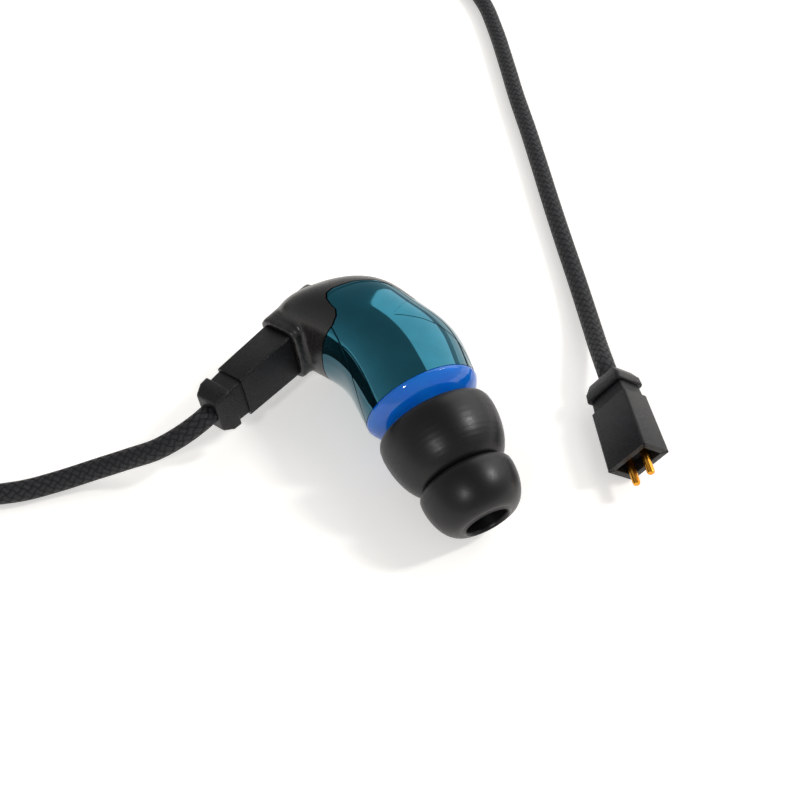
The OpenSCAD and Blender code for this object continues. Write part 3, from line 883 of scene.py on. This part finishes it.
    def jack(self) -> list[Piece]:
        """The right-angle jack: relief, body and contacts."""
        x, y, z = self.jack_at
        back = Matrix.Translation((x, y, z)) @ Matrix.Rotation(math.radians(-90), 4, "X")
        rings: list[Pair] = [(0, 0)]
        for i in range(4):
            z0 = i * self.relief_len / 4
            rings += [(1.3 + 0.22 * i, z0 + 0.02), (1.5 + 0.22 * i, z0 + 1.35), (1.5 + 0.22 * i, z0 + 1.73)]
        relief = revolved([*rings, (0, self.relief_len)], 48)
        body = revolved([(0, 7), (2.7, 7), (3.0, 7.3), (3.0, 17.7), (2.7, 18.0), (0, 18)], 64)
        elbow = turned((x, y + self.relief_len + 7.5, z), self.jack_az)
        arm = revolved([(0, 0), (2.8, 0), (2.8, 3.6), (2.6, 3.8), (0, 3.8)], 64)
        bmesh.ops.transform(arm, matrix=back.inverted() @ elbow, verts=arm.verts)
        shaft = elbow @ Matrix.Translation((0, 0, 3.8))
        r = self.jack_r
        sleeve = revolved([(0, 0), (r, 0), (r, 7.9), (r - 0.1, 8.0), (0, 8.0)], 64)
        ring = revolved([(0, 8.6), (r - 0.1, 8.6), (r, 8.7), (r, 10.5), (r - 0.1, 10.6), (0, 10.6)], 64)
        nose = [(r - 0.45, 12.0), (r, 12.6), (1.55, 13.0), (0.9, 13.7), (0.4, 13.95), (0, 14)]
        tip = revolved([(0, 11.2), (r, 11.2), *nose], 64)
        made = (
            ("relief", relief, back, ELASTOMER, "soft_moulding", "jack_relief"),
            ("jack_shell", joined(body, arm), back, PLUG_ABS, "black_moulding", "jack_body"),
            ("jack_sleeve_contact", sleeve, shaft, GOLD_PLATE, "gold", "jack_sleeve"),
            ("jack_ring_contact", ring, shaft, GOLD_PLATE, "gold", "jack_ring"),
            ("jack_tip_contact", tip, shaft, GOLD_PLATE, "gold", "jack_tip"),
        )
        return [
            finish_piece(piece_from(name, shape, place), finish, slot, "cable", node)
            for name, shape, place, finish, slot, node in made
        ]

    def build(self, plug_a: list[Piece], plug_b: list[Piece]) -> None:
        """Args:
            plug_a: Pieces of the fitted plug; not used.
            plug_b: Pieces of the free plug; not used.
        """
        left_turns = self.winding(-6.0, 3.5 + 6.0 / 360, (14.0, 14.0), 10.0, self.left_z + 1)
        right_turns = self.winding(150.0, 2.0 + 30.0 / 360, (15.0, 14.0), 10.0, self.right_z + 1)
        main_turns = self.winding(-65.0, 8.0 + 145.0 / 360, (16.4, 16.4), 8.0, self.main_z + 1)
        left = self.left_route() + left_turns + self.lead(-1, self.left_z + 3, (2.9, 2.2))
        right = self.right_route() + right_turns + self.lead(1, self.right_z + 3, (5.6, 3.4))
        main = self.main_lead() + main_turns + self.main_route()
        split, slider, jack = self.splitter(), self.slider(), self.jack()
        self.tie()
        cord, line, length = self.tube("left_branch", left, ("cord_left", "coil_left", "cord_left_lead"))
        nodes = ("cord_right", "coil_right", "cord_right_lead")
        cord, line, length = self.tube("right_branch", right[::-1], nodes)
        cord, line, length = self.tube("main_cord", main, ("cord_main_lead", "coil_main", "cord_main"))


# ---------- plugs ----------


@dataclass(frozen=True)
class Plug:
    """A two-pin plug. Sizes in mm."""

    wide: float = 5.0
    short: float = 3.4
    sleeve_len: float = 6.6
    taper: float = 0.93
    pin_r: float = 0.375
    pin_pitch: float = 1.9
    pin_out: float = 2.0
    recess: float = 1.2
    neck_len: float = 1.4
    rail_x: float = 1.25

    def build(self, letter: str, place: Matrix) -> list[Piece]:
        """The sleeve, boot and pins of one plug.

        Args:
            letter: a for the fitted plug, b for the free one.
            place: Frame of the plug.

        Returns:
            Its pieces.
        """
        sleeve = rounded_block(self.wide, self.short, -self.sleeve_len, 0, 0.28, self.taper)
        sunk(sleeve, 0.6, self.recess)
        soften(sleeve, 0.09, 40, 2)
        rail = rounded_block(0.34, 0.3, -5.2, -0.9, 0.1)
        soften(rail, 0.06, 40, 2)
        rails = []
        for x in (-self.rail_x, self.rail_x):
            one = rail.copy()
            bmesh.ops.translate(one, vec=(x, self.short / 2 - 0.14, 0), verts=one.verts)
            rails.append(one)
        rail.free()
        s, n = self.sleeve_len, self.neck_len
        neck = rounded_block(self.wide * 0.85, self.short * 0.85, -s - n, -s + 0.2, 0.3, 0.96)
        collar_w, collar_h = self.wide * 0.94, self.short * 1.02
        collar = rounded_block(collar_w, collar_h, -s - n - 1.05, -s - n, 0.4, 0.97)
        soften(collar, 0.16, 40, 3)
        rear = rounded_block(collar_w * 0.97, collar_h * 0.97, -s - n - 1.9, -s - n - 0.9, 0.4, 0.78)
        soften(rear, 0.2, 40, 3)
        pins = []
        for side in (-1, 1):
            r, top = self.pin_r, self.pin_out
            nose = [(r, top - 0.32), (r * 0.86, top - 0.12), (r * 0.5, top - 0.02), (0, top)]
            pin = revolved([(0, -1.4), (r, -1.4), *nose], 40)
            bmesh.ops.translate(pin, vec=(side * self.pin_pitch / 2, 0, 0), verts=pin.verts)
            pins.append(pin)
        made = (
            ("sleeve", (sleeve, *rails), PLUG_ABS, "plug_black"),
            ("boot", (neck, collar, rear), PLUG_ABS, "plug_black"),
            ("pins", pins, GOLD_PLATE, "gold"),
        )
        return [
            finish_piece(
                piece_from(f"{name}_{letter}", joined(*shapes), place),
                finish, slot, "cable", f"plug_{letter}_{name}",
            )
            for name, shapes, finish, slot in made
        ]


# ---------- earpiece ----------


@dataclass(frozen=True)
class Shell:
    """The lofted earpiece shell: teal front in two halves and black rear housing. Sizes in mm."""

    rim_r: float = 5.65
    half: float = 5.8
    wall: float = 0.8
    tilt: float = 10.0
    tilt_run: float = 6.0
    seam: float = 0.16
    reach: Pair = (6.0, 12.0)
    across: float = 30.0
    rounds: int = 45
    skin_rounds: int = 12

    def sections(self) -> list[tuple[float, ...]]:
        """Distance back, inner side, outer side, half height and squareness of each section."""
        r, h = self.rim_r, self.half
        return [
            (0.0, -r, r, r, 2.0), (1.5, -5.6, 5.95, h - 0.1, 2.05), (3.5, -5.4, 6.3, h - 0.05, 2.15),
            (5.5, -5.3, 6.1, h, 2.3), (7.5, -5.6, 4.8, h, 2.4), (9.5, -6.6, 4.2, h, 2.5),
            (11.5, -8.0, 3.6, h - 0.1, 2.6), (13.2, -8.8, 2.5, h - 0.6, 2.6), (14.6, -8.9, 0.6, h - 1.6, 2.5),
            (15.6, -8.2, -1.6, h - 3.2, 2.3), (16.0, -7.2, -3.0, 1.3, 2.2), (16.1, -5.6, -4.6, 0.5, 2.0),
        ]

    def faired(self, rows: int) -> list[tuple[float, ...]]:
        """The sections drawn finer, with their unevenness faired out as on a polished mould.

        Args:
            rows: Steps from the rim to the back.

        Returns:
            One section for each row.
        """
        knots = self.sections()
        table = []
        for row in range(rows + 1):
            place = row / rows * (len(knots) - 1)
            k = min(int(place), len(knots) - 2)
            t = place - k
            a, b, c, d = (knots[max(0, min(len(knots) - 1, k + j))] for j in (-1, 0, 1, 2))
            table.append([
                0.5 * (
                    2 * q + (r - p) * t + (2 * p - 5 * q + 4 * r - s) * t**2
                    + (3 * q - p - 3 * r + s) * t**3
                )
                for p, q, r, s in zip(a, b, c, d)
            ])
        for _ in range(self.rounds):
            middle = [
                [0.25 * p + 0.5 * q + 0.25 * r for p, q, r in zip(table[i - 1], table[i], table[i + 1])]
                for i in range(1, rows)
            ]
            table = [table[0], *middle, table[-1]]
        return [tuple(line) for line in table]

    def loft(self, shrink: float = 0.0, ahead: float = 0.0) -> Shape:
        """The whole shell's outer form as a closed shape.

        Args:
            shrink: How far its sides move in.
            ahead: How far its front stands forward of the rim.

        Returns:
            The shape in mm in the body's frame.
        """
        rows, sides = 72, 128
        table = self.faired(rows)
        last = len(self.sections()) - 1
        shape = bmesh.new()
        bmesh.ops.create_grid(shape, x_segments=sides, y_segments=rows, size=1.0)
        for v in shape.verts:
            row = round((v.co.y + 1) / 2 * rows)
            place = row / rows * last
            back, inner, outer, tall, square = table[row]
            back = back - ahead * max(0.0, 1 - place) - (shrink * 0.9 if place > 8 else 0.0)
            angle = (v.co.x + 1) * math.pi
            sine, cosine = math.sin(angle), math.cos(angle)
            width = max(0.05, (outer - inner) / 2 - shrink)
            x = max(0.05, tall - shrink) * math.copysign(abs(sine) ** (2 / square), sine)
            y = (inner + outer) / 2 + width * math.copysign(abs(cosine) ** (2 / square), cosine)
            lean = math.radians(self.tilt * max(0.0, 1 - max(back, 0.0) / self.tilt_run))
            v.co = (x * math.cos(lean), y, -back - x * math.sin(lean))
        bmesh.ops.remove_doubles(shape, verts=shape.verts, dist=1e-3)
        bmesh.ops.holes_fill(shape, edges=[e for e in shape.edges if e.is_boundary], sides=0)
        bmesh.ops.recalc_face_normals(shape, faces=shape.faces)
        return shape

    def front_outline(self) -> list[Pair]:
        """The teal front seen from above, as (y, z)."""
        return [
            (-12, 3), (-12, -8.6), (-4.9, -8.6), (-4.35, -8.95), (-4.15, -9.5), (-4.35, -10.3),
            (-4.4, -11.0), (-4.15, -11.6),
            (-3.4, -11.9), (-1.4, -11.9), (0.8, -11.3), (1.8, -10.4), (2.5, -9.3), (3.0, -8.2),
            (12, -6.8), (12, 3),
        ]

    def seam_outline(self) -> list[Pair]:
        """The upper half of that front seen from above."""
        return [
            (-12, 3), (-12, -16), (3.1, -16), (3.1, -8.0), (0.2, -6.3), (0.25, -6.05), (0.6, -5.9),
            (2.5, -4.7),
            (3.5, -3.85), (4.3, -2.9), (4.8, -2.1), (5.0, -1.2), (5.1, 3),
        ]

    def space(self, outline: Sequence[Pair], grow: float = 0.0) -> Shape:
        """The space above and below an outline, its sides moved out by about a gap in mm."""
        shape = prism(outline, self.across)
        if grow:
            wide, long = self.reach
            bmesh.ops.scale(shape, vec=(1, 1 + grow / wide, 1 + grow / long), verts=shape.verts)
        return shape

    def upper_space(self, grow: float) -> Shape:
        """The space that holds the upper half, seam gap included in grow."""
        outline = self.space(self.seam_outline(), grow)
        wedge = bmesh.new()
        bmesh.ops.create_cube(wedge, size=60.0)
        bmesh.ops.translate(wedge, vec=(-30 + grow, 0, 0), verts=wedge.verts)
        bmesh.ops.rotate(wedge, matrix=Matrix.Rotation(math.radians(26), 3, "Y"), verts=wedge.verts)
        return combined(outline, [(Cut.KEEP_INSIDE, wedge)])

    def cavity(self) -> Shape:
        """The hollow inside the shell."""
        return self.loft(self.wall, 3.0)

    def boss(self) -> Shape:
        """The socket's raised lip, in the body's frame."""
        shape = rounded_block(6.3, 4.7, 0.06, 6.5, 1.1)
        bmesh.ops.transform(shape, matrix=LAYOUT.body().inverted() @ LAYOUT.plug_a(), verts=shape.verts)
        return shape

    def slot(self) -> Shape:
        """The socket's opening, in the body's frame."""
        shape = rounded_block(3.56, 1.96, -2, 3.4, 0.8)
        bmesh.ops.transform(shape, matrix=LAYOUT.body().inverted() @ LAYOUT.plug_a(), verts=shape.verts)
        return shape

    def build(self) -> None:
        """Builds and dresses the three mouldings."""
        place = LAYOUT.body()
        for half, cut, gap in (("lower", Cut.TAKE_AWAY, self.seam), ("upper", Cut.KEEP_INSIDE, 0.0)):
            front = (Cut.KEEP_INSIDE, self.space(self.front_outline()))
            steps = [(Cut.TAKE_AWAY, self.cavity()), front, (cut, self.upper_space(gap))]
            piece = piece_from(f"front_{half}", combined(self.loft(), steps), place, 30)
            finish_piece(piece, TEAL_SHELL, "teal_shell", "earpiece", f"shell_{half}")
        skin = combined(self.loft(), [(Cut.JOIN, self.boss())], voxel=0.16)
        for _ in range(self.skin_rounds):
            bmesh.ops.smooth_vert(
                skin, verts=skin.verts, factor=0.5, use_axis_x=True, use_axis_y=True, use_axis_z=True
            )
        front = self.space(self.front_outline(), self.seam)
        housing = combined(skin, [(Cut.TAKE_AWAY, part) for part in (self.cavity(), front, self.slot())])
        piece = piece_from("rear_moulding", housing, place, 38)
        finish_piece(piece, BLACK_HOUSING, "black_housing", "earpiece", "rear_housing")


@dataclass(frozen=True)
class Nozzle:
    """The clear blue ring at the shell's rim. Sizes in mm."""

    rim_r: float = 5.65
    stem_r: float = 2.05

    def build(self) -> None:
        """Builds and dresses the ring."""
        r = self.rim_r
        outer = [
            (self.stem_r, 2.9), (self.stem_r, 0.9), (4.0, 0.6), (4.0, -1.6), (4.6, -1.6), (4.6, 0.0),
            (r - 0.08, 0.0), (r, 0.12),
            (r - 0.02, 0.3), (r - 0.16, 0.55), (r - 0.4, 0.95), (r - 0.75, 1.3), (r - 1.5, 1.85),
            (3.4, 2.5), (2.55, 2.9),
        ]
        piece = piece_from("nozzle_ring", revolved(outer, 144), LAYOUT.nozzle(), 50)
        finish_piece(piece, BLUE_ACRYLIC, "blue_clear", "earpiece", "nozzle_base")


@dataclass(frozen=True)
class EarTip:
    """The double-flange silicone tip. Sizes in mm along the nozzle's axis."""

    flange_r: float = 5.7
    cap_r: float = 4.6
    back: float = 2.4
    front: float = 13.3
    core_r: float = 3.06
    bore_r: float = 2.46
    outlet_r: float = 2.05
    skirt: float = 0.5
    ring: float = 0.006

    def arc(
        self, r0: float, r1: float, z0: float, z1: float, count: int, ringed: bool
    ) -> list[Pair]:
        """A quarter ellipse from a flange's widest place to its neck.

        Args:
            r0: Radius at the start.
            r1: Radius at the end.
            z0: Height at the start.
            z1: Height at the end.
            count: Steps.
            ringed: Whether faint moulding rings stand on it.

        Returns:
            Points (radius, height).
        """
        points = []
        for i in range(count + 1):
            a = math.pi / 2 * i / count
            lift = self.ring * math.sin(i * 1.9) if ringed and 2 < i < count * 0.7 else 0.0
            points.append((r1 + (r0 - r1) * math.cos(a) + lift, z0 + (z1 - z0) * math.sin(a)))
        return points

    def build(self) -> None:
        """Builds and dresses the tip as one turned shape."""
        b, f, s = self.back, self.front, self.skirt
        cap_back = f - 4.7
        big, small = self.flange_r, self.cap_r
        under_big = self.arc(big - s, self.core_r, b + 1.2, b + 5.3, 18, False)[::-1]
        under_cap = self.arc(small - s, self.core_r + 0.05, cap_back + 0.8, cap_back + 2.4, 10, False)[::-1]
        over_big = self.arc(big, self.core_r, b + 1.2, b + 6.3, 44, True)[:-1]
        over_cap = self.arc(small, self.outlet_r + 0.42, cap_back + 0.9, f - 0.12, 36, False)
        profile = [
            (self.outlet_r, f - 0.35), (self.outlet_r, b + 7.0), (self.bore_r, b + 7.0),
            (self.bore_r, b + 1.0), (self.core_r, b + 1.0),
            *under_big[:-1], (big - s, b + 1.2), (big - 0.1 - s, b + 0.5),
            (big - 0.35 - s + 0.05, b + 0.12), (big - 0.35 - s * 0.5, b),
            (big - 0.42, b), (big - 0.24, b + 0.14), (big - 0.08, b + 0.5),
            *over_big, (self.core_r, b + 6.3), *under_cap[:-1],
            (small - s, cap_back + 0.8), (small - s - 0.05, cap_back + 0.4),
            (small - s - 0.1, cap_back + 0.08), (small - 0.4, cap_back),
            (small - 0.2, cap_back + 0.12), (small - 0.04, cap_back + 0.42), *over_cap,
            (self.outlet_r + 0.18, f), (self.outlet_r + 0.04, f - 0.1),
        ]
        piece = piece_from("silicone_tip", revolved(profile, 160), LAYOUT.nozzle(), 50)
        finish_piece(piece, SILICONE, "silicone", "tip", "ear_tip")


# ---------- stage ----------


@dataclass(frozen=True)
class Studio:
    """Camera, floor and soft light. Lengths in metres."""

    elevation: float = 52.0
    distance: float = 0.1156
    aim: Triple = (0.0013, 0.005, 0.0)
    lens: float = 52.02
    floor_glow: float = 0.35
    sky: Pair = (0.7, 0.28)

    def camera(self) -> None:
        """Sets the camera at the object's own viewing angle."""
        data = bpy.data.cameras.new("camera")
        data.lens = self.lens
        data.sensor_width = 36.0
        data.clip_start = 0.002
        data.clip_end = 10.0
        camera = bpy.data.objects.new("camera", data)
        rise = math.radians(self.elevation)
        away = Vector((0, -math.cos(rise), math.sin(rise))) * self.distance
        camera.location = Vector(self.aim) + away
        camera.rotation_euler = (math.pi / 2 - rise, 0, 0)
        bpy.context.scene.collection.objects.link(camera)
        bpy.context.scene.camera = camera

    def floor(self) -> None:
        """A plain white floor that keeps the object's shadow."""
        shape = bmesh.new()
        bmesh.ops.create_grid(shape, x_segments=1, y_segments=1, size=1.5)
        bmesh.ops.translate(shape, vec=(0, 0, -0.00002), verts=shape.verts)
        mesh = bpy.data.meshes.new("floor")
        shape.to_mesh(mesh)
        shape.free()
        floor = bpy.data.objects.new("floor", mesh)
        bpy.context.scene.collection.objects.link(floor)
        material = bpy.data.materials.new("matt_white_paper")
        material.use_nodes = True
        tree = material.node_tree
        tree.nodes.remove(tree.nodes["Principled BSDF"])
        path = add_node(tree, "LightPath")
        direct = {0: path.outputs["Is Camera Ray"], 1: path.outputs["Is Glossy Ray"]}
        seen = add_node(tree, "Math", direct, operation="ADD")
        through = {0: seen.outputs[0], 1: path.outputs["Is Transmission Ray"]}
        seen = add_node(tree, "Math", through, operation="MAXIMUM")
        glow = {0: seen.outputs[0], 1: self.floor_glow}
        strength = add_node(tree, "Math", glow, operation="MULTIPLY")
        white = add_node(tree, "Emission", {"Color": WHITE, "Strength": strength.outputs[0]})
        matt = add_node(tree, "BsdfDiffuse", {"Color": linear("#F4F1EC")})
        both = add_node(tree, "AddShader", {0: matt.outputs[0], 1: white.outputs[0]})
        tree.links.new(both.outputs[0], tree.nodes["Material Output"].inputs["Surface"])
        mesh.materials.append(material)

    def lamp(self, name: str, at: Point, size: Pair, power: float, aim: Point) -> None:
        """One soft box.

        Args:
            name: Name of the lamp.
            at: Its place.
            size: Its width and height.
            power: Its power in watts.
            aim: The point that it faces.
        """
        data = bpy.data.lights.new(name, "AREA")
        data.shape = "RECTANGLE"
        data.size, data.size_y = size
        data.energy = power
        lamp = bpy.data.objects.new(name, data)
        lamp.location = at
        lamp.rotation_euler = (Vector(aim) - Vector(at)).to_track_quat("-Z", "Y").to_euler()
        bpy.context.scene.collection.objects.link(lamp)

    def light(self) -> None:
        """A large soft box behind at the right, two small ones at the right and front left, and a sky."""
        self.lamp("back_soft_box", (0.45, 0.5, 0.5), (1.0, 0.8), 4.0, (0, 0, 0))
        self.lamp("right_soft_box", (0.5, 0.1, 0.5), (0.06, 0.1), 1.6, (0, 0, 0))
        self.lamp("left_fill", (-0.2, -0.5, 0.55), (0.07, 0.07), 1.2, (0, 0, 0))
        world = bpy.data.worlds.new("studio")
        world.use_nodes = True
        tree = world.node_tree
        sky = tree.nodes["Background"]
        place = add_node(tree, "TexCoord")
        parts = add_node(tree, "SeparateXYZ", {0: place.outputs["Generated"]})
        low, high = self.sky
        fade = {"Value": parts.outputs["Z"], "From Min": 0.0, "From Max": 1.0, "To Min": low, "To Max": high}
        level = add_node(tree, "MapRange", fade)
        tree.links.new(level.outputs["Result"], sky.inputs["Strength"])
        sky.inputs["Color"].default_value = WHITE
        bpy.context.scene.world = world
        bpy.context.scene.view_settings.view_transform = "Standard"


def dress_solids() -> None:
    """Gives every solid that stays in view its finish."""
    for name, finish in NODE_FINISHES.items():
        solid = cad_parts[name]
        for slot in solid.material_slots:
            slot.material = LIBRARY.get(finish)
        if not solid.material_slots:
            solid.data.materials.append(LIBRARY.get(finish))
        LOG.info("solid %s: %s", name, finish.name)


def write_size() -> None:
    """Brings the view layer up to date."""
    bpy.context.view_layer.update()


def main() -> None:
    """Builds the object, its finishes and the stage."""
    logging.basicConfig(level=logging.INFO, format="%(name)s: %(message)s")
    studio = Studio()
    studio.camera()
    plug = Plug()
    plug_a = plug.build("a", LAYOUT.plug_a())
    plug_b = plug.build("b", LAYOUT.plug_b())
    Cable().build(plug_a, plug_b)
    Shell().build()
    Nozzle().build()
    EarTip().build()
    dress_solids()
    studio.floor()
    studio.light()
    write_size()


if __name__ == "__main__":
    main()
